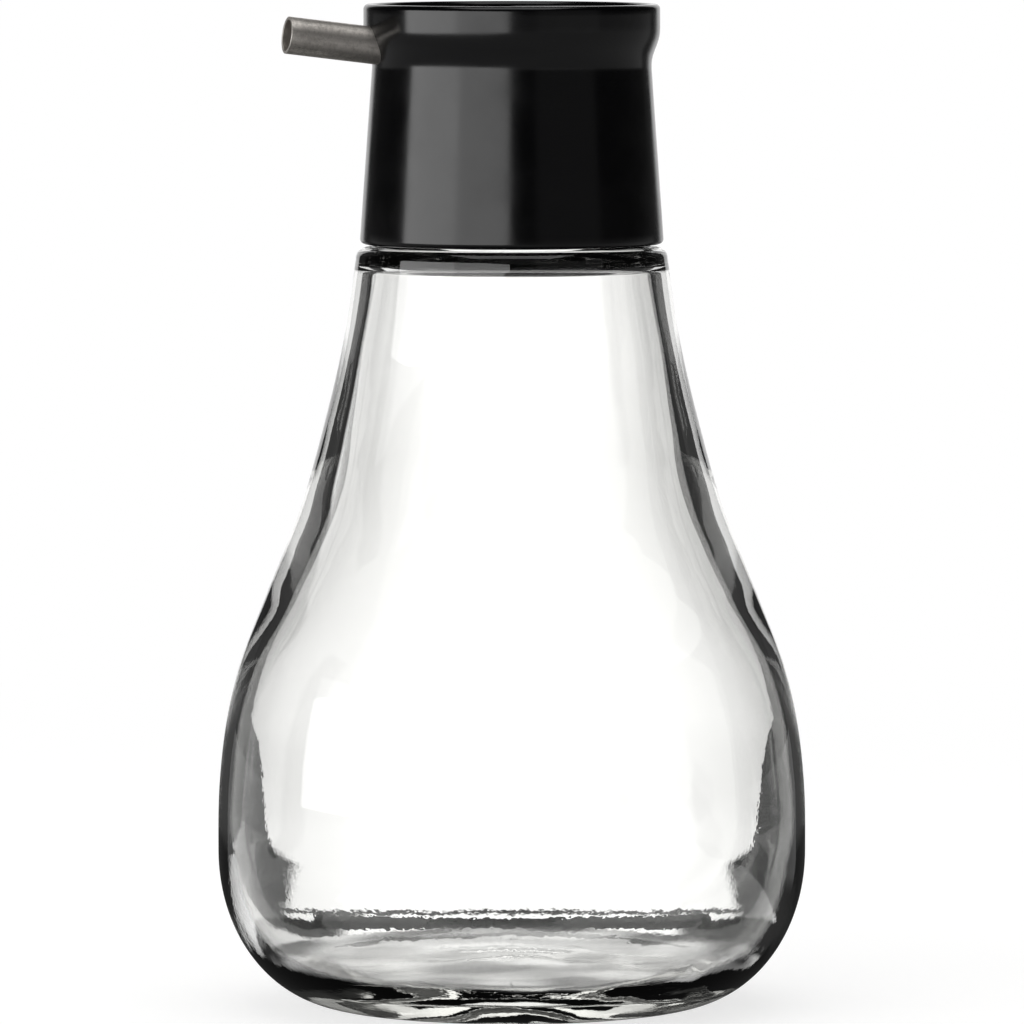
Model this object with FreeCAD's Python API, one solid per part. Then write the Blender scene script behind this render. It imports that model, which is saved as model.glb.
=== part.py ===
"""Oil cruet: a pear-shaped glass bottle, a moulded black cap and a straight steel spout.

Every piece is its own solid in parts/NODE.step. Lengths are in millimetres. The origin is the
centre of the foot on the table, +Z points up, and the spout points along -X.
"""

import FreeCAD, Part
import math
import os

from FreeCAD import Vector

# --- Driving dimensions -------------------------------------------------------------------

TOTAL_HEIGHT = 135.0

# Bottle, outside. The wall stations are (height above the table, radius).
FOOT_RADIUS = 22.5          # outer edge of the flat ring that the bottle stands on
FOOT_RING_WIDTH = 4.5
PUSH_UP = 1.8               # how far the underside rises to its centre
BELLY_RADIUS = 39.6
BELLY_HEIGHT = 21.0         # the widest place, where the heel's curve ends
HEEL_FULLNESS = 0.56        # 0.552 is a plain quarter of an ellipse
OUTER_WALL = (
    (30.0, 39.42),
    (38.0, 38.52),
    (46.0, 36.67),
    (56.0, 32.90),
    (68.0, 28.25),
    (78.0, 25.42),
    (90.0, 22.62),
)
SHOULDER_RADIUS = 21.0
SHOULDER_HEIGHT = 100.8
SHOULDER_ROUNDING = 1.7
SHOULDER_SLOPE = Vector(-0.145, 0, 1)

# Bottle, inside. The glass is thin at the belly and heel and heavy in the sloping wall.
FLOOR_CENTRE_HEIGHT = 5.4
FLOOR_EDGE_RADIUS = 27.0
FLOOR_EDGE_HEIGHT = 4.7
INNER_BELLY_RADIUS = 38.1
INNER_BELLY_HEIGHT = 24.0
INNER_WALL = (
    (31.0, 37.75),
    (38.0, 36.90),
    (46.0, 34.70),
    (56.0, 29.70),
    (62.0, 26.75),
    (68.0, 24.30),
    (78.0, 22.20),
    (88.0, 20.50),
)
INNER_SHOULDER_RADIUS = 18.7
INNER_SHOULDER_HEIGHT = 98.4
INNER_ROOF_HEIGHT = 100.6

# Bottle neck, hidden in the cap.
NECK_RADIUS = 16.8
NECK_BORE_RADIUS = 14.0
LIP_HEIGHT = 120.0
LIP_ROUNDING = 0.6
NECK_ROOT_ROUNDING = 0.8

# Cap, outside.
CAP_BOTTOM_HEIGHT = 102.8
CAP_BOTTOM_RADIUS = 20.45
CAP_EDGE_ROUNDING = 0.7
WAIST_RADIUS = 18.8
WAIST_HEIGHT = 126.2
RIM_RADIUS = 19.93
RIM_START_HEIGHT = 131.8    # the flare ends here and the rim runs straight up
RIM_THICKNESS = 1.6
RIM_ROUNDING = 0.7
DISH_DEPTH = 1.4
DISH_CORNER = 0.4

# Cap, inside.
SKIRT_CLEARANCE = 0.25      # between the skirt's bore and the neck
SKIRT_LEAD_IN = 0.5
CHAMBER_RADIUS = 15.0
CHAMBER_CORNER = 1.0
TOP_PLATE_THICKNESS = 1.3

# Spout: a standard 5 mm tube, pressed into the cap.
SPOUT_RADIUS = 2.5
SPOUT_WALL = 0.4
SPOUT_RISE_DEG = 7.0
SPOUT_TIP_RADIUS = 31.3     # how far the tip's centre is from the cruet's axis
SPOUT_TIP_HEIGHT = 131.0
SPOUT_INNER_RADIUS = 13.5   # where the tube ends inside the chamber


# --- Outline pieces -----------------------------------------------------------------------

def at(radius, height):
    """A point of a half section, by its distance from the axis and its height."""
    return Vector(radius, 0, height)


def line(start, end):
    return Part.LineSegment(start, end).toShape()


def toward(start, end, distance):
    """The point at a distance from start on the way to end."""
    return start + (end - start).normalize() * distance


def quarter(start, corner, end, fullness):
    """A curve that leaves start towards corner and comes into end from corner."""
    curve = Part.BezierCurve()
    curve.setPoles([
        start,
        start + (corner - start) * fullness,
        end + (corner - end) * fullness,
        end,
    ])
    return curve.toShape()


def level_blend(start, end):
    """An S-shaped curve between two points, level at both."""
    middle = (start.x + end.x) / 2
    curve = Part.BezierCurve()
    curve.setPoles([start, at(middle, start.z), at(middle, end.z), end])
    return curve.toShape()


def wall(start, stations, end, start_tangent, end_tangent):
    """A smooth wall line through the stations."""
    points = [start, *(at(radius, height) for height, radius in stations), end]
    curve = Part.BSplineCurve()
    curve.interpolate(Points=points, InitialTangent=start_tangent, FinalTangent=end_tangent)
    return curve.toShape()


def rounded_run(corners):
    """Straight edges through (point, rounding) corners, each rounding a tangent arc."""
    edges = []
    last = corners[0][0]
    for (before, _), (corner, rounding), (after, _) in zip(corners, corners[1:], corners[2:]):
        if rounding == 0:
            edges.append(line(last, corner))
            last = corner
            continue
        inward = (before - corner).normalize()
        onward = (after - corner).normalize()
        half_angle = inward.getAngle(onward) / 2
        reach = rounding / math.tan(half_angle)
        arc_start = corner + inward * reach
        arc_end = corner + onward * reach
        bisector = (inward + onward).normalize()
        arc_middle = corner + bisector * (rounding / math.sin(half_angle) - rounding)
        if (arc_start - last).Length > 1e-6:
            edges.append(line(last, arc_start))
        edges.append(Part.Arc(arc_start, arc_middle, arc_end).toShape())
        last = arc_end
    edges.append(line(last, corners[-1][0]))
    return edges


def turned(edges):
    """The solid that a closed half section sweeps round the axis."""
    section = Part.Face(Part.Wire(Part.__sortEdges__(edges)))
    return section.revolve(Vector(0, 0, 0), Vector(0, 0, 1), 360)


# --- Pieces -------------------------------------------------------------------------------

def bottle():
    up = Vector(0, 0, 1)
    ring_inner = at(FOOT_RADIUS - FOOT_RING_WIDTH, 0)
    foot = at(FOOT_RADIUS, 0)
    belly = at(BELLY_RADIUS, BELLY_HEIGHT)
    shoulder = at(SHOULDER_RADIUS, SHOULDER_HEIGHT)
    land_height = SHOULDER_HEIGHT + SHOULDER_ROUNDING
    land = at(SHOULDER_RADIUS - SHOULDER_ROUNDING, land_height)
    outside = [
        level_blend(at(0, PUSH_UP), ring_inner),
        line(ring_inner, foot),
        quarter(foot, at(BELLY_RADIUS, 0), belly, HEEL_FULLNESS),
        wall(belly, OUTER_WALL, shoulder, up, SHOULDER_SLOPE),
        quarter(shoulder, at(SHOULDER_RADIUS, land_height), land, 0.552),
    ]

    inner_shoulder = at(INNER_SHOULDER_RADIUS, INNER_SHOULDER_HEIGHT)
    roof_corner = at(INNER_SHOULDER_RADIUS, INNER_ROOF_HEIGHT)
    roof = at(INNER_SHOULDER_RADIUS - (INNER_ROOF_HEIGHT - INNER_SHOULDER_HEIGHT), INNER_ROOF_HEIGHT)
    neck = rounded_run([
        (land, 0),
        (at(NECK_RADIUS, land_height), NECK_ROOT_ROUNDING),
        (at(NECK_RADIUS, LIP_HEIGHT), LIP_ROUNDING),
        (at(NECK_BORE_RADIUS, LIP_HEIGHT), LIP_ROUNDING),
        (at(NECK_BORE_RADIUS, INNER_ROOF_HEIGHT), NECK_ROOT_ROUNDING),
        (roof, 0),
    ])

    floor_edge = at(FLOOR_EDGE_RADIUS, FLOOR_EDGE_HEIGHT)
    inner_belly = at(INNER_BELLY_RADIUS, INNER_BELLY_HEIGHT)
    inside = [
        quarter(inner_shoulder, roof_corner, roof, 0.552),
        wall(inner_belly, INNER_WALL, inner_shoulder, up, SHOULDER_SLOPE),
        quarter(floor_edge, at(INNER_BELLY_RADIUS, FLOOR_EDGE_HEIGHT), inner_belly, HEEL_FULLNESS),
        level_blend(at(0, FLOOR_CENTRE_HEIGHT), floor_edge),
        line(at(0, FLOOR_CENTRE_HEIGHT), at(0, PUSH_UP)),
    ]
    return turned(outside + neck + inside)


def spout_axis():
    """The tip's centre and the direction from the chamber out to it."""
    rise = math.radians(SPOUT_RISE_DEG)
    return Vector(-SPOUT_TIP_RADIUS, 0, SPOUT_TIP_HEIGHT), Vector(-math.cos(rise), 0, math.sin(rise))


def spout_rod(radius):
    """A rod along the spout from its end in the chamber to its tip."""
    tip, outward = spout_axis()
    length = (SPOUT_TIP_RADIUS - SPOUT_INNER_RADIUS) / math.cos(math.radians(SPOUT_RISE_DEG))
    return Part.makeCylinder(radius, length, tip - outward * length, outward)


def spout():
    return spout_rod(SPOUT_RADIUS).cut(spout_rod(SPOUT_RADIUS - SPOUT_WALL))


def cap():
    skirt_bore = NECK_RADIUS + SKIRT_CLEARANCE
    waist = at(WAIST_RADIUS, WAIST_HEIGHT)
    bottom_corner = at(CAP_BOTTOM_RADIUS, CAP_BOTTOM_HEIGHT)
    skirt = rounded_run([
        (at(skirt_bore + SKIRT_LEAD_IN, CAP_BOTTOM_HEIGHT), 0),
        (bottom_corner, CAP_EDGE_ROUNDING),
        (waist, 0),
    ])

    rim_start = at(RIM_RADIUS, RIM_START_HEIGHT)
    flare_height = RIM_START_HEIGHT - WAIST_HEIGHT
    flare = Part.BezierCurve()
    flare.setPoles([
        waist,
        toward(waist, waist + (waist - bottom_corner), flare_height * 0.45),
        at(RIM_RADIUS, RIM_START_HEIGHT - flare_height * 0.45),
        rim_start,
    ])

    dish_radius = RIM_RADIUS - RIM_THICKNESS
    dish_height = TOTAL_HEIGHT - DISH_DEPTH
    lip = rounded_run([
        (rim_start, 0),
        (at(RIM_RADIUS, TOTAL_HEIGHT), RIM_ROUNDING),
        (at(dish_radius, TOTAL_HEIGHT), RIM_ROUNDING),
        (at(dish_radius, dish_height), DISH_CORNER),
        (at(0, dish_height), 0),
    ])

    ceiling = dish_height - TOP_PLATE_THICKNESS
    inside = [line(at(0, dish_height), at(0, ceiling))]
    inside += rounded_run([
        (at(0, ceiling), 0),
        (at(CHAMBER_RADIUS, ceiling), CHAMBER_CORNER),
        (at(CHAMBER_RADIUS, LIP_HEIGHT), 0),
        (at(skirt_bore, LIP_HEIGHT), 0),
        (at(skirt_bore, CAP_BOTTOM_HEIGHT + SKIRT_LEAD_IN), 0),
        (at(skirt_bore + SKIRT_LEAD_IN, CAP_BOTTOM_HEIGHT), 0),
    ])
    shell = turned(skirt + [flare.toShape()] + lip + inside)
    return shell.cut(spout_rod(SPOUT_RADIUS))


def main():
    os.makedirs("parts", exist_ok=True)
    for name, piece in (("bottle", bottle()), ("cap", cap()), ("spout", spout())):
        solid = piece.Solids[0]
        if len(piece.Solids) != 1 or not solid.isValid():
            raise ValueError(f"{name} isn't one valid solid")
        solid.exportStep(f"parts/{name}.step")
        box = solid.BoundBox
        print(f"{name}: {solid.Volume / 1000:.2f} cm3, {box.XLength:.2f} x {box.YLength:.2f} x "
              f"{box.ZLength:.2f} mm, z {box.ZMin:.2f} to {box.ZMax:.2f}")


main()
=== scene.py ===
"""Looks of the glass oil cruet: a blown bottle, a moulded cap and a drawn steel spout.

The cruet stands at the origin on a pale floor, with +Z up and its spout along -X. Sizes are
written in millimetres, as the frame's are, and turned to metres by MM.
"""

import logging
import math
from collections.abc import Callable, Iterable
from dataclasses import dataclass, field
from enum import Enum

import bmesh
import bpy
from mathutils import Matrix, Vector, noise


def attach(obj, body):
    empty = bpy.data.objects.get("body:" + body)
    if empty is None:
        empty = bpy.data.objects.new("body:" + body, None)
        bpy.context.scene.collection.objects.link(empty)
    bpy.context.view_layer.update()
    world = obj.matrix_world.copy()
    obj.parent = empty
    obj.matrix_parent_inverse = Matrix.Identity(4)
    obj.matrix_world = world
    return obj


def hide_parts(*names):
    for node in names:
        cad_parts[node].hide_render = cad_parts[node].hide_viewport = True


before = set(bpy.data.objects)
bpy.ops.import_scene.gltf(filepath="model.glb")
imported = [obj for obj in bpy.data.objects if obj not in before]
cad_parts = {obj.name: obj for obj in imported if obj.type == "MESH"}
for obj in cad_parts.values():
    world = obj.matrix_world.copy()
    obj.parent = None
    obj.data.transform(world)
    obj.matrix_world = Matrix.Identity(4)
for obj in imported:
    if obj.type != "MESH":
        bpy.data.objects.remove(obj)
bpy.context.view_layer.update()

LOG = logging.getLogger("cruet")
MM = 0.001
BODY = "root"
WHITE = (1.0, 1.0, 1.0, 1.0)
MERGE = 1e-7  # metres: points of a turned shape that are closer than this are one
CIRCLE_HANDLE = 0.552  # how far a cubic curve's handles reach to draw a quarter of a circle


# --- Small tools ----------------------------------------------------------------------------

def linear(hex_colour: str, alpha: float = 1.0) -> tuple[float, float, float, float]:
    """Turns an sRGB hex colour into the linear colour that shaders take.

    Args:
        hex_colour: Six hex digits, such as "1a1b1c".
        alpha: The fourth number.

    Returns:
        The linear red, green and blue, and alpha.
    """
    parts = [int(hex_colour[i:i + 2], 16) / 255 for i in (0, 2, 4)]
    red, green, blue = (c / 12.92 if c <= 0.04045 else ((c + 0.055) / 1.055) ** 2.4 for c in parts)
    return red, green, blue, alpha


def add_node(tree: bpy.types.NodeTree, kind: str, settings: dict | None = None,
             inputs: dict | None = None) -> bpy.types.Node:
    """Adds a shader node, sets it up and links it.

    Args:
        tree: The node tree that gets the node.
        kind: The node's type name, such as "ShaderNodeTexNoise".
        settings: Attributes of the node itself.
        inputs: Values for its input sockets by name or number. An output socket is linked.

    Returns:
        The new node.
    """
    made = tree.nodes.new(kind)
    for name, value in (settings or {}).items():
        setattr(made, name, value)
    for name, value in (inputs or {}).items():
        socket = made.inputs[name]
        if isinstance(value, bpy.types.NodeSocket):
            tree.links.new(value, socket)
        else:
            socket.default_value = value
    return made


def new_material(name: str) -> tuple[bpy.types.Material, bpy.types.NodeTree, bpy.types.Node]:
    """Makes an empty node material.

    Args:
        name: The material's name.

    Returns:
        The material, its node tree and its output node.
    """
    material = bpy.data.materials.new(name)
    material.use_nodes = True
    tree = material.node_tree
    tree.nodes.clear()
    return material, tree, add_node(tree, "ShaderNodeOutputMaterial")


class Side(Enum):
    """Which side of a wall a stretch of outline is on."""

    OUTSIDE = 0
    INSIDE = 1


@dataclass
class Outline:
    """Half of a turned shape's section: (radius, height) points in millimetres.

    Attributes:
        points: The points so far, in order.
        sides: For each point, the side of the wall that it is on.
    """

    points: list[Vector] = field(default_factory=list)
    sides: list[Side] = field(default_factory=list)

    def start(self, radius: float, height: float, side: Side = Side.OUTSIDE) -> "Outline":
        """Puts down the first point and returns the outline."""
        self.points.append(Vector((radius, height)))
        self.sides.append(side)
        return self

    def line(self, radius: float, height: float, steps: int = 1,
             side: Side = Side.OUTSIDE) -> "Outline":
        """Draws a straight run from the last point.

        Args:
            radius: The end's radius.
            height: The end's height.
            steps: How many points the run gets.
            side: The side of the wall that the run is on.

        Returns:
            The outline.
        """
        begin, end = self.points[-1], Vector((radius, height))
        for i in range(1, steps + 1):
            self.points.append(begin.lerp(end, i / steps))
            self.sides.append(side)
        return self

    def curve(self, first: tuple, second: tuple, end: tuple, steps: int,
              side: Side = Side.OUTSIDE) -> "Outline":
        """Draws a cubic curve from the last point.

        Args:
            first: The handle at the last point.
            second: The handle at the end.
            end: The end of the curve.
            steps: How many points the curve gets.
            side: The side of the wall that the curve is on.

        Returns:
            The outline.
        """
        poles = [self.points[-1], Vector(first), Vector(second), Vector(end)]
        for i in range(1, steps + 1):
            t = i / steps
            weights = ((1 - t) ** 3, 3 * t * (1 - t) ** 2, 3 * t * t * (1 - t), t ** 3)
            self.points.append(sum((p * w for p, w in zip(poles, weights)), Vector((0, 0))))
            self.sides.append(side)
        return self

    def quarter(self, corner: tuple, end: tuple, steps: int, handle: float = CIRCLE_HANDLE,
                side: Side = Side.OUTSIDE) -> "Outline":
        """Rounds a corner between the last point and an end.

        Args:
            corner: The sharp corner that the curve rounds.
            end: Where the curve comes in.
            steps: How many points the curve gets.
            handle: How far the handles reach to the corner.
            side: The side of the wall that the curve is on.

        Returns:
            The outline.
        """
        begin, corner, end = self.points[-1], Vector(corner), Vector(end)
        return self.curve(begin.lerp(corner, handle), end.lerp(corner, handle), end, steps, side)

    def spline(self, stations: Iterable[tuple], start_tangent: tuple, end_tangent: tuple,
               steps: int, side: Side = Side.OUTSIDE) -> "Outline":
        """Draws a smooth wall line through stations, from the last point.

        Args:
            stations: The (radius, height) points to pass through.
            start_tangent: The direction at the last point.
            end_tangent: The direction at the last station.
            steps: How many points each span gets.
            side: The side of the wall that the line is on.

        Returns:
            The outline.
        """
        knots = [self.points[-1], *(Vector(s) for s in stations)]
        slopes = []
        for i, knot in enumerate(knots):
            if i in (0, len(knots) - 1):
                slopes.append(Vector(start_tangent if i == 0 else end_tangent).normalized())
                continue
            before, after = knot - knots[i - 1], knots[i + 1] - knot
            blend = before / before.length_squared + after / after.length_squared
            slopes.append(blend.normalized())
        for (a, b), (ta, tb) in zip(zip(knots, knots[1:]), zip(slopes, slopes[1:])):
            reach = (b - a).length / 3
            self.curve(a + ta * reach, b - tb * reach, b, steps, side)
        return self

    def spin(self, name: str, segments: int, closed: bool = True) -> bmesh.types.BMesh:
        """Turns the outline round the Z axis.

        Args:
            name: What the shape is called in messages.
            segments: How many steps go round.
            closed: True if the outline's ends both lie on the axis or meet.

        Returns:
            The shape, in metres, with faces pointing out and an integer vertex layer "side".
        """
        bm = bmesh.new()
        layer = bm.verts.layers.int.new("side")
        verts = []
        for point, side in zip(self.points, self.sides):
            vert = bm.verts.new((point.x * MM, 0, point.y * MM))
            vert[layer] = side.value
            verts.append(vert)
        edges = [bm.edges.new(pair) for pair in zip(verts, verts[1:])]
        bmesh.ops.spin(bm, geom=verts + edges, axis=(0, 0, 1), cent=(0, 0, 0),
                       angle=math.tau, steps=segments, use_merge=True)
        bmesh.ops.remove_doubles(bm, verts=bm.verts, dist=MERGE)
        bmesh.ops.recalc_face_normals(bm, faces=bm.faces)
        if closed and any(not e.is_manifold for e in bm.edges):
            raise ValueError(f"{name} isn't closed")
        return bm


def finished(name: str, bm: bmesh.types.BMesh, material: bpy.types.Material,
             node: str) -> bpy.types.Object:
    """Makes a piece of the cruet from a mesh.

    Args:
        name: The piece's name.
        bm: Its mesh, in the row frame. It is freed.
        material: What it is made of.
        node: The CAD node that it stands for.

    Returns:
        The piece, riding on the cruet's body.
    """
    mesh = bpy.data.meshes.new(name)
    bm.to_mesh(mesh)
    bm.free()
    mesh.shade_smooth()
    mesh.materials.append(material)
    piece = bpy.data.objects.new(name, mesh)
    bpy.context.scene.collection.objects.link(piece)
    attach(piece, BODY)
    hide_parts(node)
    LOG.info("%s: %d faces", name, len(mesh.polygons))
    return piece


# --- Finishes -------------------------------------------------------------------------------

@dataclass(frozen=True)
class BlownGlass:
    """Soda-lime glass, blown in a mould and fire-polished.

    The eye gets clear, mirror-smooth walls with a faint olive tint where the glass is thick, and
    a fine stipple low down, where the mould chilled it, that roughens the edges of dark shapes.
    """

    tint: str = "fafaf9"
    depth_colour: str = "e3e3d6"
    absorption: float = 7.0
    ior: float = 1.52
    stipple_size: float = 0.8
    stipple_depth: float = 0.0035
    stipple_top: float = 62.0
    stipple_foot: float = 12.0
    stipple_least: float = 0.12

    def material(self) -> bpy.types.Material:
        """Makes the glass."""
        material, tree, output = new_material("soda-lime glass, blown")
        where = add_node(tree, "ShaderNodeTexCoord").outputs["Object"]
        height = add_node(tree, "ShaderNodeSeparateXYZ", inputs={0: where})
        low = add_node(tree, "ShaderNodeMapRange", {"interpolation_type": "SMOOTHSTEP"}, {
            "Value": height.outputs["Z"], "From Min": self.stipple_top * MM,
            "From Max": self.stipple_foot * MM, "To Min": self.stipple_least, "To Max": 1.0})
        grain = add_node(tree, "ShaderNodeTexNoise", inputs={
            "Vector": where, "Scale": 1 / (self.stipple_size * MM), "Detail": 1.0,
            "Roughness": 0.6})
        stipple = add_node(tree, "ShaderNodeBump", inputs={
            "Strength": low.outputs[0], "Distance": self.stipple_depth * MM,
            "Height": grain.outputs["Fac"]})
        glass = add_node(tree, "ShaderNodeBsdfPrincipled", inputs={
            "Base Color": linear(self.tint),
            "Roughness": 0.0,
            "IOR": self.ior,
            "Transmission Weight": 1.0,
            "Normal": stipple.outputs[0],
        })
        depth = add_node(tree, "ShaderNodeVolumeAbsorption", inputs={
            "Color": linear(self.depth_colour),
            "Density": self.absorption,
        })
        tree.links.new(glass.outputs[0], output.inputs["Surface"])
        tree.links.new(depth.outputs[0], output.inputs["Volume"])
        return material


@dataclass(frozen=True)
class MouldedPlastic:
    """ABS, moulded in a polished tool and handled since.

    The eye gets a deep black with a softened mirror of the lamps, a faint orange peel, cloudy
    haze where hands have wiped it, and a few pale specks of dust.
    """

    colour: str = "020203"
    dust_colour: str = "6d6b68"
    ior: float = 1.5
    roughness: tuple = (0.15, 0.22)
    haze_size: float = 7.0
    haze_span: tuple = (0.35, 0.7)      # the noise levels that count as clean and as hazy
    peel_size: float = 1.3
    peel_depth: float = 0.0022
    dust_gap: float = 2.6
    dust_size: float = 0.075
    dust_share: float = 0.22

    def material(self) -> bpy.types.Material:
        """Makes the plastic."""
        material, tree, output = new_material("black ABS, moulded gloss")
        where = add_node(tree, "ShaderNodeTexCoord").outputs["Object"]
        haze = add_node(tree, "ShaderNodeTexNoise", inputs={
            "Vector": where, "Scale": 1 / (self.haze_size * MM), "Detail": 4.0, "Roughness": 0.6})
        gloss = add_node(tree, "ShaderNodeMapRange", inputs={
            "Value": haze.outputs["Fac"], "From Min": self.haze_span[0],
            "From Max": self.haze_span[1],
            "To Min": self.roughness[0], "To Max": self.roughness[1]})
        ripple = add_node(tree, "ShaderNodeTexNoise", inputs={
            "Vector": where, "Scale": 1 / (self.peel_size * MM), "Detail": 1.0})
        peel = add_node(tree, "ShaderNodeBump", inputs={
            "Strength": 1.0, "Distance": self.peel_depth * MM, "Height": ripple.outputs["Fac"]})
        cells = add_node(tree, "ShaderNodeTexVoronoi", inputs={
            "Vector": where, "Scale": 1 / (self.dust_gap * MM)})
        speck = add_node(tree, "ShaderNodeMath", {"operation": "LESS_THAN"}, {
            0: cells.outputs["Distance"], 1: self.dust_size / self.dust_gap})
        chance = add_node(tree, "ShaderNodeSeparateColor", inputs={0: cells.outputs["Color"]})
        chosen = add_node(tree, "ShaderNodeMath", {"operation": "LESS_THAN"}, {
            0: chance.outputs[0], 1: self.dust_share})
        dust = add_node(tree, "ShaderNodeMath", {"operation": "MULTIPLY"}, {
            0: speck.outputs[0], 1: chosen.outputs[0]})
        colour = add_node(tree, "ShaderNodeMix", {"data_type": "RGBA"}, {
            "Factor": dust.outputs[0], 6: linear(self.colour), 7: linear(self.dust_colour)})
        shell = add_node(tree, "ShaderNodeBsdfPrincipled", inputs={
            "Base Color": colour.outputs[2],
            "Roughness": gloss.outputs[0],
            "IOR": self.ior,
            "Normal": peel.outputs[0],
        })
        tree.links.new(shell.outputs[0], output.inputs["Surface"])
        return material


@dataclass(frozen=True)
class DrawnSteel:
    """Stainless steel, drawn into tube and sawn to length.

    The eye gets a warm grey satin with fine lines along the tube, dull blotches that the oil has
    left, and a brighter ring where the end was sawn.
    """

    bright: str = "f1ece6"
    dull: str = "c9c3bc"
    stained: str = "8f8a85"
    cut: str = "f6f1ea"
    lean: float = math.radians(7)
    grain_size: float = 0.16
    grain_length: float = 4.0
    grain_depth: float = 0.004
    blotch_size: float = 0.55
    stain_span: tuple = (0.42, 0.68)    # the noise levels where a stain starts and is full
    stain_most: float = 0.5
    gloss_span: tuple = (0.35, 0.7)     # the noise levels that count as bright and as dull
    roughness: tuple = (0.40, 0.58)

    def along(self, tree: bpy.types.NodeTree) -> bpy.types.NodeSocket:
        """Lays the pattern's Z along the tube.

        Args:
            tree: The material's node tree.

        Returns:
            The turned coordinates.
        """
        where = add_node(tree, "ShaderNodeTexCoord").outputs["Object"]
        turned = add_node(tree, "ShaderNodeVectorRotate", {"rotation_type": "Y_AXIS"}, {
            "Vector": where, "Center": (0, 0, 0), "Angle": math.pi / 2 - self.lean})
        return turned.outputs[0]

    def material(self) -> bpy.types.Material:
        """Makes the tube's steel, satin outside and one flat duller colour inside."""
        material, tree, output = new_material("stainless steel, drawn tube")
        lengthwise = self.along(tree)
        squeeze = add_node(tree, "ShaderNodeMapping", inputs={
            "Vector": lengthwise, "Scale": (1, 1, self.grain_size / self.grain_length)})
        grain = add_node(tree, "ShaderNodeTexNoise", inputs={
            "Vector": squeeze.outputs[0], "Scale": 1 / (self.grain_size * MM), "Detail": 2.0})
        blotch = add_node(tree, "ShaderNodeTexNoise", inputs={
            "Vector": lengthwise, "Scale": 1 / (self.blotch_size * MM), "Detail": 4.0,
            "Roughness": 0.7})
        inner = add_node(tree, "ShaderNodeAttribute", {"attribute_name": "side"})
        skin = add_node(tree, "ShaderNodeMix", {"data_type": "RGBA"}, {
            "Factor": grain.outputs["Fac"], 6: linear(self.bright), 7: linear(self.dull)})
        patch = add_node(tree, "ShaderNodeMapRange", inputs={
            "Value": blotch.outputs["Fac"], "From Min": self.stain_span[0],
            "From Max": self.stain_span[1], "To Min": 0.0, "To Max": self.stain_most})
        mottled = add_node(tree, "ShaderNodeMix", {"data_type": "RGBA"}, {
            "Factor": patch.outputs[0], 6: skin.outputs[2], 7: linear(self.stained)})
        dulled = add_node(tree, "ShaderNodeMix", {"data_type": "RGBA"}, {
            "Factor": inner.outputs["Fac"], 6: mottled.outputs[2], 7: linear(self.dull)})
        gloss = add_node(tree, "ShaderNodeMapRange", inputs={
            "Value": blotch.outputs["Fac"], "From Min": self.gloss_span[0],
            "From Max": self.gloss_span[1],
            "To Min": self.roughness[0], "To Max": self.roughness[1]})
        lines = add_node(tree, "ShaderNodeBump", inputs={
            "Strength": 1.0, "Distance": self.grain_depth * MM, "Height": grain.outputs["Fac"]})
        metal = add_node(tree, "ShaderNodeBsdfPrincipled", inputs={
            "Base Color": dulled.outputs[2],
            "Metallic": 1.0,
            "Roughness": gloss.outputs[0],
            "Normal": lines.outputs[0],
        })
        tree.links.new(metal.outputs[0], output.inputs["Surface"])
        return material

    def end_material(self) -> bpy.types.Material:
        """Makes the steel of the sawn and deburred end, brighter than the tube's skin."""
        material, tree, output = new_material("stainless steel, sawn end")
        where = self.along(tree)
        scratch = add_node(tree, "ShaderNodeTexNoise", inputs={
            "Vector": where, "Scale": 1 / (self.grain_size * MM), "Detail": 3.0})
        gloss = add_node(tree, "ShaderNodeMapRange", inputs={
            "Value": scratch.outputs["Fac"], "To Min": self.roughness[0],
            "To Max": self.roughness[1]})
        marks = add_node(tree, "ShaderNodeBump", inputs={
            "Strength": 1.0, "Distance": self.grain_depth * MM, "Height": scratch.outputs["Fac"]})
        metal = add_node(tree, "ShaderNodeBsdfPrincipled", inputs={
            "Base Color": linear(self.cut),
            "Metallic": 1.0,
            "Roughness": gloss.outputs[0],
            "Normal": marks.outputs[0],
        })
        tree.links.new(metal.outputs[0], output.inputs["Surface"])
        return material


# --- Pieces ---------------------------------------------------------------------------------

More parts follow.
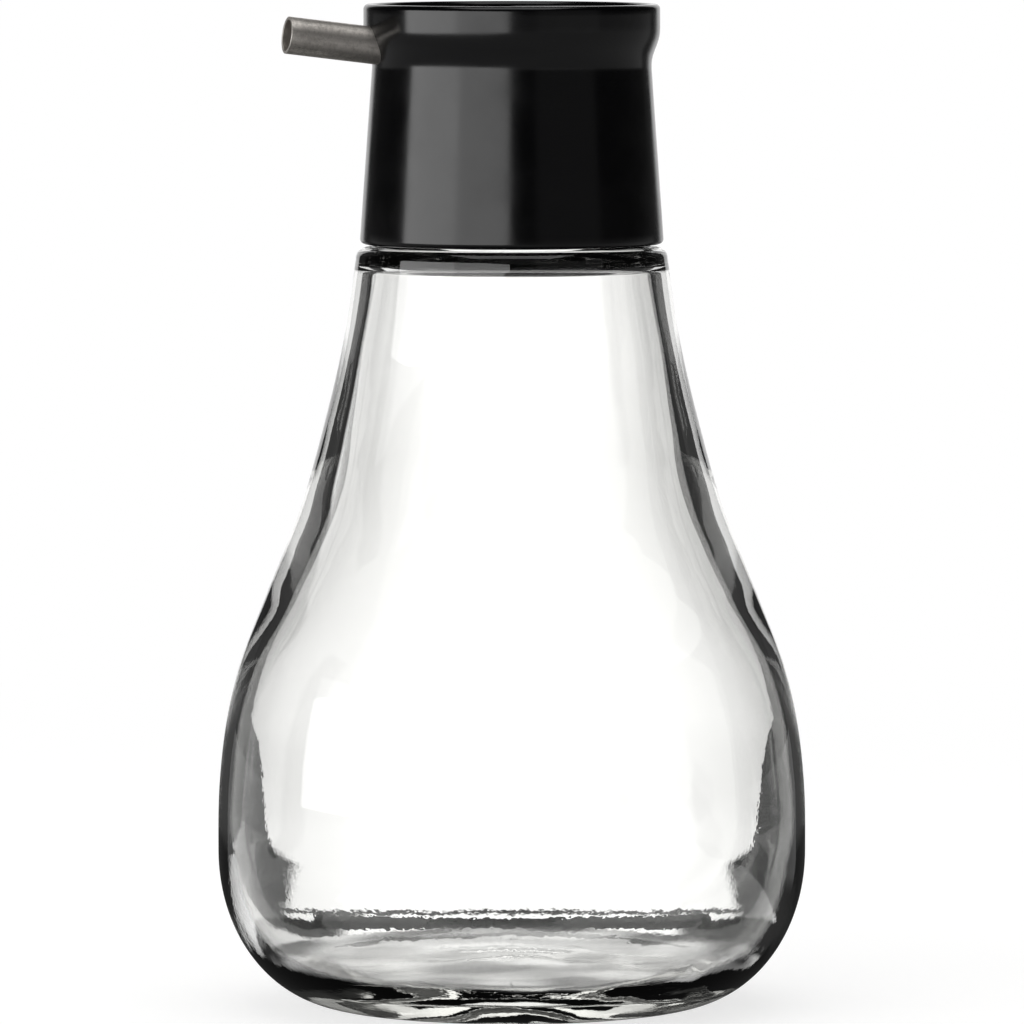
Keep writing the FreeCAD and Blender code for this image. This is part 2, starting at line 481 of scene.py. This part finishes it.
@dataclass
class Bottle:
    """The pear-shaped bottle, with its heavy heel and the neck inside the cap.

    Sizes are in millimetres, and a wall line's stations are (radius, height).
    """

    foot_radius: float = 22.5
    foot_ring_width: float = 4.5
    push_up: float = 1.8
    belly_radius: float = 39.6
    belly_height: float = 21.0
    heel_handle: float = 0.56
    outer_wall: tuple = ((39.42, 30), (38.52, 38), (36.67, 46), (32.9, 56), (28.25, 68),
                         (25.42, 78), (22.62, 90))
    shoulder: tuple = (21.0, 100.8)
    shoulder_rounding: float = 1.7
    shoulder_slope: tuple = (-0.145, 1.0)
    floor_centre: float = 5.4
    floor_edge: tuple = (27.0, 4.7)
    inner_belly: tuple = (38.1, 24.0)
    inner_wall: tuple = ((37.75, 31), (36.9, 38), (34.7, 46), (29.7, 56), (26.75, 62),
                         (24.3, 68), (22.2, 78), (20.5, 88))
    inner_shoulder: tuple = (18.7, 98.4)
    roof_height: float = 100.6
    neck_radius: float = 16.8
    neck_bore: float = 14.0
    lip_height: float = 120.0
    lip_rounding: float = 0.6
    root_rounding: float = 0.8
    segments: int = 224
    # The inside's unevenness: how far it moves, and over what length, from slow to fine.
    slow_depth: float = 0.016
    slow_size: tuple = (16.0, 40.0)
    quick_depth: float = 0.004
    quick_size: tuple = (6.0, 16.0)
    floor_quick_depth: float = 0.06
    floor_fine_depth: float = 0.018
    fine_size: float = 2.4
    floor_top: float = 14.0
    floor_blend: float = 8.0
    even_above: float = 92.0
    even_blend: float = 8.0
    wrinkle_size: float = 3.5
    wrinkle_depth: float = 0.06

    def outline(self) -> Outline:
        """Draws the half section, up the outside, over the lip and down the inside."""
        inside = Side.INSIDE
        land = self.shoulder[1] + self.shoulder_rounding
        root, lip, top = self.root_rounding, self.lip_rounding, self.lip_height
        neck, bore, roof = self.neck_radius, self.neck_bore, self.roof_height
        ring_inner = self.foot_radius - self.foot_ring_width
        middle = ring_inner / 2
        line = Outline().start(0, self.push_up)
        line.curve((middle, self.push_up), (middle, 0), (ring_inner, 0), 16)
        line.line(self.foot_radius, 0, 3)
        line.quarter((self.belly_radius, 0), (self.belly_radius, self.belly_height), 40,
                     self.heel_handle)
        line.spline((*self.outer_wall, self.shoulder), (0, 1), self.shoulder_slope, 10)
        line.quarter((self.shoulder[0], land), (self.shoulder[0] - self.shoulder_rounding, land), 10)
        line.line(neck + root, land, 2)
        line.quarter((neck, land), (neck, land + root), 5)
        line.line(neck, top - lip, 2)
        line.quarter((neck, top), (neck - lip, top), 5)
        line.line(bore + lip, top, 2, inside)
        line.quarter((bore, top), (bore, top - lip), 5, side=inside)
        line.line(bore, roof + root, 3, inside)
        line.quarter((bore, roof), (bore + root, roof), 5, side=inside)
        run = roof - self.inner_shoulder[1]
        line.line(self.inner_shoulder[0] - run, roof, 2, inside)
        line.quarter((self.inner_shoulder[0], roof), self.inner_shoulder, 10, side=inside)
        down = tuple(-c for c in self.shoulder_slope)
        line.spline((*reversed(self.inner_wall), self.inner_belly), down, (0, -1), 10, inside)
        line.quarter((self.inner_belly[0], self.floor_edge[1]), self.floor_edge, 40,
                     self.heel_handle, inside)
        middle = self.floor_edge[0] / 2
        line.curve((middle, self.floor_edge[1]), (middle, self.floor_centre),
                   (0, self.floor_centre), 16, inside)
        return line

    def inside_depth(self, spot: Vector) -> float:
        """Says how far the inside is out of true at a place.

        Args:
            spot: The place, in millimetres.

        Returns:
            How far it moves along its normal, in millimetres.
        """
        across, along = self.slow_size
        slow = noise.noise(Vector((spot.x / across, spot.y / across, spot.z / along)))
        across, along = self.quick_size
        place = Vector((spot.x / across, spot.y / across, spot.z / along))
        quick = noise.noise(place + Vector((7, 3, 5)))
        fine = noise.noise(spot / self.fine_size + Vector((1, 9, 4)))
        floor = min(1.0, max(0.0, (self.floor_top - spot.z) / self.floor_blend))
        depth = self.slow_depth * slow + self.quick_depth * quick
        depth += floor * (self.floor_quick_depth * quick + self.floor_fine_depth * fine)
        return depth * min(1.0, (self.even_above - spot.z) / self.even_blend)

    def ripple(self, bm: bmesh.types.BMesh) -> None:
        """Gives the inside the low ripples of blown glass, and wrinkles the push-up.

        Args:
            bm: The bottle's mesh.
        """
        side = bm.verts.layers.int["side"]
        bm.normal_update()
        moves = []
        for vert in bm.verts:
            spot = vert.co / MM
            if vert[side] == Side.OUTSIDE.value:
                if spot.xy.length < self.foot_radius - self.foot_ring_width:
                    wrinkle = 1 + noise.noise(spot / self.wrinkle_size + Vector((4, 2, 8)))
                    lift = self.wrinkle_depth * wrinkle * spot.z
                    moves.append((vert, Vector((0, 0, lift * MM))))
            elif spot.z <= self.even_above:
                moves.append((vert, vert.normal * self.inside_depth(spot) * MM))
        for vert, move in moves:
            vert.co += move

    def build(self, finish: BlownGlass) -> bpy.types.Object:
        """Turns the bottle and dresses it.

        Args:
            finish: The glass.

        Returns:
            The bottle.
        """
        bm = self.outline().spin("bottle", self.segments)
        self.ripple(bm)
        return finished("bottle_glass", bm, finish.material(), "bottle")


@dataclass
class Cap:
    """The tapered cap, with its flared rim, dished top and hollow inside, in millimetres."""

    bottom: tuple = (20.45, 102.8)
    edge_rounding: float = 0.7
    waist: tuple = (18.8, 126.2)
    rim_radius: float = 19.93
    rim_start: float = 131.8
    flare_handle: float = 0.45
    rim_thickness: float = 1.6
    rim_rounding: float = 0.7
    top: float = 135.0
    dish_depth: float = 1.4
    dish_corner: float = 0.4
    skirt_bore: float = 17.05
    lead_in: float = 0.5
    ledge: float = 120.0
    chamber_radius: float = 15.0
    chamber_corner: float = 1.0
    plate: float = 1.3
    segments: int = 192

    def outside(self) -> Outline:
        """Draws the half section from the skirt's mouth, up the outside and over the dish."""
        radius, foot = self.bottom
        up_skirt = (Vector(self.waist) - Vector(self.bottom)).normalized()
        after_edge = Vector(self.bottom) + up_skirt * self.edge_rounding
        line = Outline().start(self.skirt_bore + self.lead_in, foot)
        line.line(radius - self.edge_rounding, foot, 3)
        line.quarter(self.bottom, tuple(after_edge), 8)
        line.line(*self.waist, 24)
        rise = (self.rim_start - self.waist[1]) * self.flare_handle
        line.curve(tuple(Vector(self.waist) + up_skirt * rise),
                   (self.rim_radius, self.rim_start - rise), (self.rim_radius, self.rim_start), 24)
        dish_radius = self.rim_radius - self.rim_thickness
        floor = self.top - self.dish_depth
        turn = self.rim_rounding
        line.line(self.rim_radius, self.top - turn, 4)
        line.quarter((self.rim_radius, self.top), (self.rim_radius - turn, self.top), 8)
        line.line(dish_radius + turn, self.top, 1)
        line.quarter((dish_radius, self.top), (dish_radius, self.top - turn), 8)
        line.line(dish_radius, floor + self.dish_corner, 1)
        line.quarter((dish_radius, floor), (dish_radius - self.dish_corner, floor), 5)
        line.line(0, floor, 6)
        return line

    def build(self, finish: MouldedPlastic) -> bpy.types.Object:
        """Turns the cap and dresses it.

        Args:
            finish: The plastic.

        Returns:
            The cap.
        """
        ceiling = self.top - self.dish_depth - self.plate
        inside = Outline().start(0, ceiling)
        inside.line(self.chamber_radius - self.chamber_corner, ceiling, 4)
        inside.quarter((self.chamber_radius, ceiling),
                       (self.chamber_radius, ceiling - self.chamber_corner), 4)
        inside.line(self.chamber_radius, self.ledge, 3)
        inside.line(self.skirt_bore, self.ledge, 1)
        inside.line(self.skirt_bore, self.bottom[1] + self.lead_in, 3)
        inside.line(self.skirt_bore + self.lead_in, self.bottom[1], 1)
        outside = self.outside()
        inside.points += outside.points[1:]
        inside.sides += outside.sides[1:]
        bm = inside.spin("cap", self.segments)
        return finished("cap_shell", bm, finish.material(), "cap")


@dataclass
class Spout:
    """The straight tube, square cut, with its wall showing at the tip, in millimetres."""

    radius: float = 2.5
    wall: float = 0.4
    rise: float = math.radians(7)
    tip: tuple = (-31.3, 0, 131.0)
    inner_reach: float = 13.5
    edge: float = 0.06
    segments: int = 64

    def build(self, finish: DrawnSteel) -> bpy.types.Object:
        """Turns the tube, lays it along its slope and dresses it.

        Args:
            finish: The steel.

        Returns:
            The spout.
        """
        length = (-self.tip[0] - self.inner_reach) / math.cos(self.rise)
        bore = self.radius - self.wall
        line = Outline().start(bore, 0)
        line.line(self.radius, 0, 2)
        line.line(self.radius, length - self.edge, 10)
        line.quarter((self.radius, length), (self.radius - self.edge, length), 3)
        line.line(bore + self.edge, length, 2)
        line.quarter((bore, length), (bore, length - self.edge), 3)
        line.line(bore, length - 2 * self.edge, 1, Side.INSIDE)
        line.line(bore, 0, 10, Side.INSIDE)
        bm = line.spin("spout", self.segments, closed=False)
        for face in bm.faces:
            if face.calc_center_median().z > (length - self.edge) * MM:
                face.material_index = 1
        lean = Matrix.Rotation(-(math.pi / 2 - self.rise), 4, "Y")
        outward = Vector((-math.cos(self.rise), 0, math.sin(self.rise)))
        start = (Vector(self.tip) - outward * length) * MM
        bmesh.ops.transform(bm, matrix=Matrix.Translation(start) @ lean, verts=bm.verts)
        tube = finished("spout_tube", bm, finish.material(), "spout")
        tube.data.materials.append(finish.end_material())
        return tube


# --- Studio ---------------------------------------------------------------------------------

CARD_TOP = 0.03  # metres above the floor


class Card(Enum):
    """How light a studio card is, at the floor and at the height CARD_TOP."""

    BLACK = (0.03, 0.055)
    GREY = (0.03, 0.06)


def between(stations: tuple, place: float) -> float:
    """Reads a value off a line of stations.

    Args:
        stations: Pairs of place and value, in order of place.
        place: Where to read it.

    Returns:
        The value there, or the nearest end's value.
    """
    for (p0, v0), (p1, v1) in zip(stations, stations[1:]):
        if place <= p1:
            return v0 + (v1 - v0) * max(0.0, place - p0) / (p1 - p0)
    return stations[-1][1]


@dataclass
class Studio:
    """A pale floor, a white surround with dark cards beside it, soft lamps and the camera.

    Places are given across (to the camera's right), behind (away from the camera) and up, in
    metres from the cruet's axis.
    """

    azimuth: float = math.radians(-16.5)
    distance: float = 1.35
    camera_height: float = 0.162
    aim_height: float = 0.0666
    lens: float = 353.2
    sensor: float = 36.0
    shift_x: float = 0.0002
    floor_height: float = -0.0002
    table_height: float = -0.0001
    floor_radius: float = 12.0
    paper: str = "f4f4f3"
    paper_lift: float = 1.25        # how far the floor is lifted to white, but for shadows
    paper_through: float = 1.15     # how bright the floor is seen through glass
    reflected_shade_near: float = 0.03     # how bright gloss shows the floor, by the foot and beyond: a painted reflection, with painted shade by the foot
    reflected_shade_far: float = 0.24
    reflected_shade_reach: tuple = (0.09, 0.15)
    surround_radius: float = 0.7
    surround_height: float = 0.55
    panel_reach: float = 28.0       # degrees each way: the part that gloss shows
    table_rings: tuple = (0.002, 0.01)      # how far apart the table's rings are, near and far
    # How bright the surround is at each bearing from straight behind, in degrees to the right.
    surround_levels: tuple = ((-180, 0.03), (-123, 0.03), (-120, 1.05), (-93, 1.05), (-90, 0.03),
                              (-79, 0.03), (-76, 1.05), (-49, 1.05), (-46, 0.03), (-28.3, 0.03),
                              (-27.3, 0.9), (-15, 0.92), (-10, 1.05), (-6, 1.2), (-3, 1.35),
                              (3, 1.35), (6, 1.2), (10, 1.05), (15, 0.92), (27.3, 0.9),
                              (28.3, 0.03), (103, 0.03), (106, 1.05), (131, 1.05), (134, 0.03),
                              (180, 0.03))
    # Painted strips of light across the table at other bearings, for looks from the cruet's other
    # sides.
    windows: tuple = (-62.5, -106.5, 118.5)
    window_width: float = 0.042
    window_start: float = 0.055
    # The table under the bottle is painted with patchy shade, and with a dark painted shadow in
    # front.
    under_reach: float = 0.04
    under_front: float = -0.02
    under_mean: float = 0.3
    under_contrast: float = 1.3
    under_most: float = 0.9
    under_size: float = 0.011
    painted_shade_level: float = 0.05
    painted_shadow_reach: float = 0.07
    line_level: float = 0.07
    strip_bearing: float = 46.0
    strip_reach: float = 0.35
    strip_blur: float = 0.002
    border: float = 0.02
    border_reach: float = 0.2
    # Half the width of the painted strip of light on the table behind the cruet, at each distance
    # behind.
    strip_widths: tuple = ((0.0, 0.024), (0.042, 0.025), (0.05, 0.0375), (0.1, 0.0375),
                           (0.2, 0.06), (0.35, 0.13), (0.45, 0.244), (1.0, 0.543))
    strip_line: tuple = (0.052, 0.0562)
    shadow_fade: float = 0.55       # how much of the shadow the camera doesn't see
    fade_start: float = 0.18
    fade_end: float = 0.5
    # The room's light on matt things, and what gloss, glass and the camera see of it.
    room_level: float = 0.55
    room_shown: dict = field(default_factory=lambda: {
        "Is Glossy Ray": 0.02, "Is Transmission Ray": 1.0, "Is Camera Ray": 1.0})

    def place(self, across: float, behind: float, up: float) -> Vector:
        """Turns a place in the camera's terms into one in the row frame.

        Args:
            across: How far to the camera's right.
            behind: How far behind the cruet's axis.
            up: How far above the floor.

        Returns:
            The place, in metres.
        """
        cos, sin = math.cos(self.azimuth), math.sin(self.azimuth)
        return Vector((across * cos - behind * sin, across * sin + behind * cos, up))

    def camera(self) -> None:
        """Puts up the camera."""
        data = bpy.data.cameras.new("camera")
        data.lens, data.sensor_width, data.shift_x = self.lens, self.sensor, self.shift_x
        data.clip_start, data.clip_end = 0.05, 50
        camera = bpy.data.objects.new("camera", data)
        bpy.context.scene.collection.objects.link(camera)
        camera.location = self.place(0, -self.distance, self.camera_height)
        aim = Vector((0, 0, self.aim_height)) - camera.location
        camera.rotation_euler = aim.to_track_quat("-Z", "Y").to_euler()
        bpy.context.scene.camera = camera

    def lamp(self, name: str, bearing: float, height: float, distance: float, size: tuple,
             radiance: float) -> None:
        """Puts up a rectangular softbox that faces the cruet.

        Args:
            name: The lamp's name.
            bearing: Degrees to the camera's left, round the cruet.
            height: How high its middle is, in metres.
            distance: How far from the axis it stands, in metres.
            size: Its width and height, in metres.
            radiance: How bright its face is, where 1 is white.
        """
        data = bpy.data.lights.new(name, "AREA")
        data.shape, data.size, data.size_y = "RECTANGLE", *size
        data.energy = radiance * math.pi * size[0] * size[1]
        lamp = bpy.data.objects.new(name, data)
        bpy.context.scene.collection.objects.link(lamp)
        turn = math.radians(bearing)
        lamp.location = self.place(-math.sin(turn) * distance, -math.cos(turn) * distance, height)
        aim = Vector((0, 0, min(height, 0.12))) - lamp.location
        lamp.rotation_euler = aim.to_track_quat("-Z", "Y").to_euler()
        lamp.visible_camera = False
        lamp.visible_transmission = False

    def staged(self, name: str, bm: bmesh.types.BMesh, material: bpy.types.Material,
               unseen: bool = True) -> bpy.types.Object:
        """Makes a piece of the studio from a mesh.

        Args:
            name: Its name.
            bm: Its mesh. It is freed.
            material: Its finish.
            unseen: True if only glass and gloss show it, and it casts no shadow.

        Returns:
            The piece.
        """
        mesh = bpy.data.meshes.new(name)
        bm.to_mesh(mesh)
        bm.free()
        mesh.materials.append(material)
        piece = bpy.data.objects.new(name, mesh)
        bpy.context.scene.collection.objects.link(piece)
        if unseen:
            piece.visible_camera = False
            piece.visible_diffuse = False
            piece.visible_shadow = False
        return piece

    def floor(self) -> None:
        """Lays the floor: matt white paper that keeps the shadow and fades to plain white, and that
        gloss sees as a painted reflection, with painted shade by the foot.
        """
        bm = bmesh.new()
        bmesh.ops.create_circle(bm, cap_ends=True, radius=self.floor_radius, segments=96,
                                matrix=Matrix.Translation((0, 0, self.floor_height)))
        material, tree, output = new_material("white paper, matt")
        paper = add_node(tree, "ShaderNodeBsdfDiffuse", inputs={"Color": linear(self.paper)})
        white = add_node(tree, "ShaderNodeEmission", inputs={"Color": WHITE, "Strength": 1.0})
        lift = add_node(tree, "ShaderNodeEmission", inputs={
            "Color": WHITE, "Strength": self.paper_lift})
        bright = add_node(tree, "ShaderNodeEmission", inputs={
            "Color": WHITE, "Strength": self.paper_through})
        path = add_node(tree, "ShaderNodeLightPath")
        where = add_node(tree, "ShaderNodeTexCoord")
        reach = add_node(tree, "ShaderNodeVectorMath", {"operation": "LENGTH"},
                         {0: where.outputs["Object"]})
        fade = add_node(tree, "ShaderNodeMapRange", {"interpolation_type": "SMOOTHSTEP"}, {
            "Value": reach.outputs["Value"], "From Min": self.fade_start, "From Max": self.fade_end})
        lit = add_node(tree, "ShaderNodeMixShader", inputs={
            0: self.shadow_fade, 1: paper.outputs[0], 2: lift.outputs[0]})
        near = add_node(tree, "ShaderNodeMixShader", inputs={
            0: fade.outputs[0], 1: lit.outputs[0], 2: white.outputs[0]})
        # What gloss sees of the floor is a painted reflection: painted shade by the foot, and a dim
        # painted level beyond.
        dark = add_node(tree, "ShaderNodeEmission", inputs={
            "Color": WHITE, "Strength": self.reflected_shade_near})
        heel = add_node(tree, "ShaderNodeMapRange", {"interpolation_type": "SMOOTHSTEP"}, {
            "Value": reach.outputs["Value"], "From Min": self.reflected_shade_reach[0],
            "From Max": self.reflected_shade_reach[1]})
        dim = add_node(tree, "ShaderNodeEmission", inputs={
            "Color": WHITE, "Strength": self.reflected_shade_far})
        gloss = add_node(tree, "ShaderNodeMixShader", inputs={
            0: heel.outputs[0], 1: dark.outputs[0], 2: dim.outputs[0]})
        mirrored = add_node(tree, "ShaderNodeMixShader", inputs={
            0: path.outputs["Is Glossy Ray"], 1: paper.outputs[0], 2: gloss.outputs[0]})
        direct = add_node(tree, "ShaderNodeMixShader", inputs={
            0: path.outputs["Is Camera Ray"], 1: mirrored.outputs[0], 2: near.outputs[0]})
        through = add_node(tree, "ShaderNodeMixShader", inputs={
            0: path.outputs["Is Transmission Ray"], 1: direct.outputs[0], 2: bright.outputs[0]})
        tree.links.new(through.outputs[0], output.inputs["Surface"])
        self.staged("floor", bm, material, unseen=False)

    def cloth(self) -> bpy.types.Material:
        """Makes the cloth that shows the levels painted on its mesh."""
        material, tree, output = new_material("backdrop cloth, backlit")
        shade = add_node(tree, "ShaderNodeAttribute", {"attribute_name": "level"})
        face = add_node(tree, "ShaderNodeEmission", inputs={
            "Color": WHITE, "Strength": shade.outputs["Fac"]})
        tree.links.new(face.outputs[0], output.inputs["Surface"])
        return material

    def cove(self, name: str, material: bpy.types.Material, reach: float) -> bpy.types.Object:
        """Stands a curved backdrop behind or round the cruet.

        Args:
            name: Its name.
            material: The backdrop cloth.
            reach: How far it goes each way from straight behind, in degrees.

        Returns:
            The backdrop.
        """
        bm = bmesh.new()
        level = bm.verts.layers.float.new("level")
        turn = Matrix.Rotation(math.radians(reach), 3, "Z")
        low = bm.verts.new(turn @ self.place(0, self.surround_radius, 0))
        high = bm.verts.new(turn @ self.place(0, self.surround_radius, self.surround_height))
        edge = bm.edges.new((low, high))
        bmesh.ops.spin(bm, geom=[low, high, edge], axis=(0, 0, 1), cent=(0, 0, 0),
                       angle=-math.radians(2 * reach), steps=round(2 * reach),
                       use_merge=reach == 180)
        bmesh.ops.remove_doubles(bm, verts=bm.verts, dist=MERGE)
        for vert in bm.verts:
            vert[level] = between(self.surround_levels, self.bearing(vert.co)[0])
        return self.staged(name, bm, material)

    def surround(self) -> None:
        """Stands the backdrops, lays the table top with its painted light and shade, and sets the
        world above them.
        """
        material = self.cloth()
        self.cove("backdrop", material, 180).visible_glossy = False
        self.cove("panel", material, self.panel_reach).visible_transmission = False

        bm = bmesh.new()
        level = bm.verts.layers.float.new("level")
        fine, coarse = self.table_rings
        reaches = [0.0, *(fine * i for i in range(1, 60)), *(coarse * i for i in range(12, 71))]
        verts = [bm.verts.new(self.place(0, reach, self.table_height)) for reach in reaches]
        edges = [bm.edges.new(pair) for pair in zip(verts, verts[1:])]
        bmesh.ops.spin(bm, geom=verts + edges, axis=(0, 0, 1), cent=(0, 0, 0),
                       angle=math.tau, steps=360, use_merge=True)
        bmesh.ops.remove_doubles(bm, verts=bm.verts, dist=MERGE)
        for vert in bm.verts:
            vert[level] = self.table_level(vert.co)
        table = self.staged("table", bm, material)
        table.visible_glossy = False

        world = bpy.data.worlds.new("surround")
        bpy.context.scene.world = world
        world.use_nodes = True
        tree = world.node_tree
        tree.nodes.clear()
        output = add_node(tree, "ShaderNodeOutputWorld")
        path = add_node(tree, "ShaderNodeLightPath")
        shown = add_node(tree, "ShaderNodeBackground", inputs={
            "Color": WHITE, "Strength": self.room_level}).outputs[0]
        for ray, strength in self.room_shown.items():
            level = add_node(tree, "ShaderNodeBackground", inputs={
                "Color": WHITE, "Strength": strength})
            shown = add_node(tree, "ShaderNodeMixShader", inputs={
                0: path.outputs[ray], 1: shown, 2: level.outputs[0]}).outputs[0]
        tree.links.new(shown, output.inputs["Surface"])

    def bearing(self, spot: Vector) -> tuple[float, float, float]:
        """Says where a place is, from the camera's side.

        Args:
            spot: The place, in the row frame.

        Returns:
            Its bearing from straight behind, in degrees to the right, and how far it is across
            and behind, in metres.
        """
        right, back = self.place(1, 0, 0), self.place(0, 1, 0)
        across, behind = spot.dot(right), spot.dot(back)
        return math.degrees(math.atan2(across, behind)), across, behind

    def table_level(self, spot: Vector) -> float:
        """How bright the table is seen through the glass, with its painted light and shade.

        Args:
            spot: A place on it.

        Returns:
            Its level, where 1 is white.
        """
        bearing, across, behind = self.bearing(spot)
        reach = spot.xy.length
        # Under the bottle the table is painted with patchy shade, and with painted shadow in front of
        # the axis.
        if reach < self.under_reach:
            if behind < self.under_front:
                return self.painted_shade_level
            patches = self.under_mean + self.under_contrast * noise.noise(spot / self.under_size)
            return min(self.under_most, max(self.painted_shade_level, patches))
        if abs(bearing) < self.strip_bearing:
            return self.strip_level(bearing, across, behind, reach)
        for middle in self.windows:
            turn = math.radians(bearing - middle)
            beside = abs(math.sin(turn)) * reach
            if math.cos(turn) > 0 and beside < self.window_width and reach > self.window_start:
                return 1.0
        # Close in front of the cruet: painted shadow.
        if behind < 0.0 and reach < self.painted_shadow_reach:
            return self.painted_shade_level
        return between(self.surround_levels, bearing)

    def strip_level(self, bearing: float, across: float, behind: float, reach: float) -> float:
        """How bright the table is behind the cruet: a painted strip of light with a dark line across
        it, and painted shade beside it.

        Args:
            bearing: Degrees to the right of straight behind.
            across: How far to the camera's right, in metres.
            behind: How far behind the axis, in metres.
            reach: How far from the axis, in metres.

        Returns:
            Its level, where 1 is white.
        """
        far = between(self.surround_levels, bearing * min(1.0, reach / self.strip_reach))
        edge = between(self.strip_widths, behind)
        inside = min(1.0, max(0.0, (edge - abs(across)) / self.strip_blur + 0.5))
        strip = self.line_level if self.strip_line[0] < behind < self.strip_line[1] else far
        # Along the strip's borders and close behind, painted shade; farther out, the surround's
        # level.
        near = abs(across) < edge + self.border or behind < self.border_reach
        return strip * inside + (self.painted_shade_level if near else far) * (1 - inside)

    def card(self, name: str, corners: Iterable[tuple], shade: Card) -> None:
        """Stands a pair of flat cards behind the cruet, left and right.

        Args:
            name: The cards' name.
            corners: The right-hand card's corners, as (across, behind, up).
            shade: How light they are.
        """
        low, high = shade.value
        material, tree, output = new_material(f"{shade.name.lower()} card, matt")
        where = add_node(tree, "ShaderNodeTexCoord")
        height = add_node(tree, "ShaderNodeSeparateXYZ", inputs={0: where.outputs["Object"]})
        level = add_node(tree, "ShaderNodeMapRange", inputs={
            "Value": height.outputs["Z"], "From Min": 0.0, "From Max": CARD_TOP,
            "To Min": low, "To Max": high})
        face = add_node(tree, "ShaderNodeEmission", inputs={
            "Color": WHITE, "Strength": level.outputs[0]})
        tree.links.new(face.outputs[0], output.inputs["Surface"])
        for hand, sign in (("right", 1), ("left", -1)):
            bm = bmesh.new()
            verts = [bm.verts.new(self.place(sign * across, behind, up))
                     for across, behind, up in corners]
            edges = [bm.edges.new(pair) for pair in zip(verts, verts[1:] + verts[:1])]
            bmesh.ops.triangle_fill(bm, use_beauty=True, use_dissolve=False, edges=edges)
            self.staged(f"{name}_{hand}", bm, material)

    def build(self) -> None:
        """Sets up the whole studio."""
        self.camera()
        self.floor()
        self.surround()
        self.card("flag", ((0.043, 0.06, 0.0), (0.08, 0.06, 0.0), (0.08, 0.06, 0.14),
                           (0.059, 0.06, 0.14), (0.056, 0.06, 0.1), (0.052, 0.06, 0.082),
                           (0.0505, 0.06, 0.072), (0.0485, 0.06, 0.06), (0.048, 0.06, 0.048),
                           (0.0475, 0.06, 0.038), (0.048, 0.06, 0.03), (0.0455, 0.06, 0.014)),
                  Card.BLACK)
        self.card("wing", ((0.0375, 0.0602, 0.0), (0.0515, 0.0602, 0.0), (0.0515, 0.0602, 0.028),
                           (0.048, 0.0602, 0.038), (0.0435, 0.0602, 0.033), (0.0393, 0.0602, 0.022),
                           (0.0382, 0.0602, 0.014)), Card.GREY)
        self.card("kerb", ((0.0, 0.037, 0.0), (0.03, 0.037, 0.0), (0.03, 0.037, 0.0035),
                           (0.0, 0.037, 0.0035)), Card.BLACK)
        self.lamp("key_strip", bearing=46, height=0.19, distance=0.9, size=(1.75, 0.36), radiance=2.4)
        self.lamp("key_core", bearing=66, height=0.19, distance=0.88, size=(0.75, 0.36), radiance=0.9)
        self.lamp("fill_strip", bearing=-45, height=0.3, distance=0.9, size=(0.9, 0.5), radiance=0.09)
        self.lamp("overhead", bearing=0, height=1.1, distance=0.15, size=(0.9, 0.9), radiance=1.3)
        scene = bpy.context.scene
        scene.view_settings.view_transform = "Standard"
        scene.cycles.max_bounces = 16
        scene.cycles.transmission_bounces = 16
        scene.cycles.glossy_bounces = 8


def main() -> None:
    """Builds the cruet and its studio, and reports each piece."""
    logging.basicConfig(level=logging.INFO, format="%(message)s")
    Studio().build()
    Bottle().build(BlownGlass())
    Cap().build(MouldedPlastic())
    Spout().build(DrawnSteel())


if __name__ == "__main__":
    main()
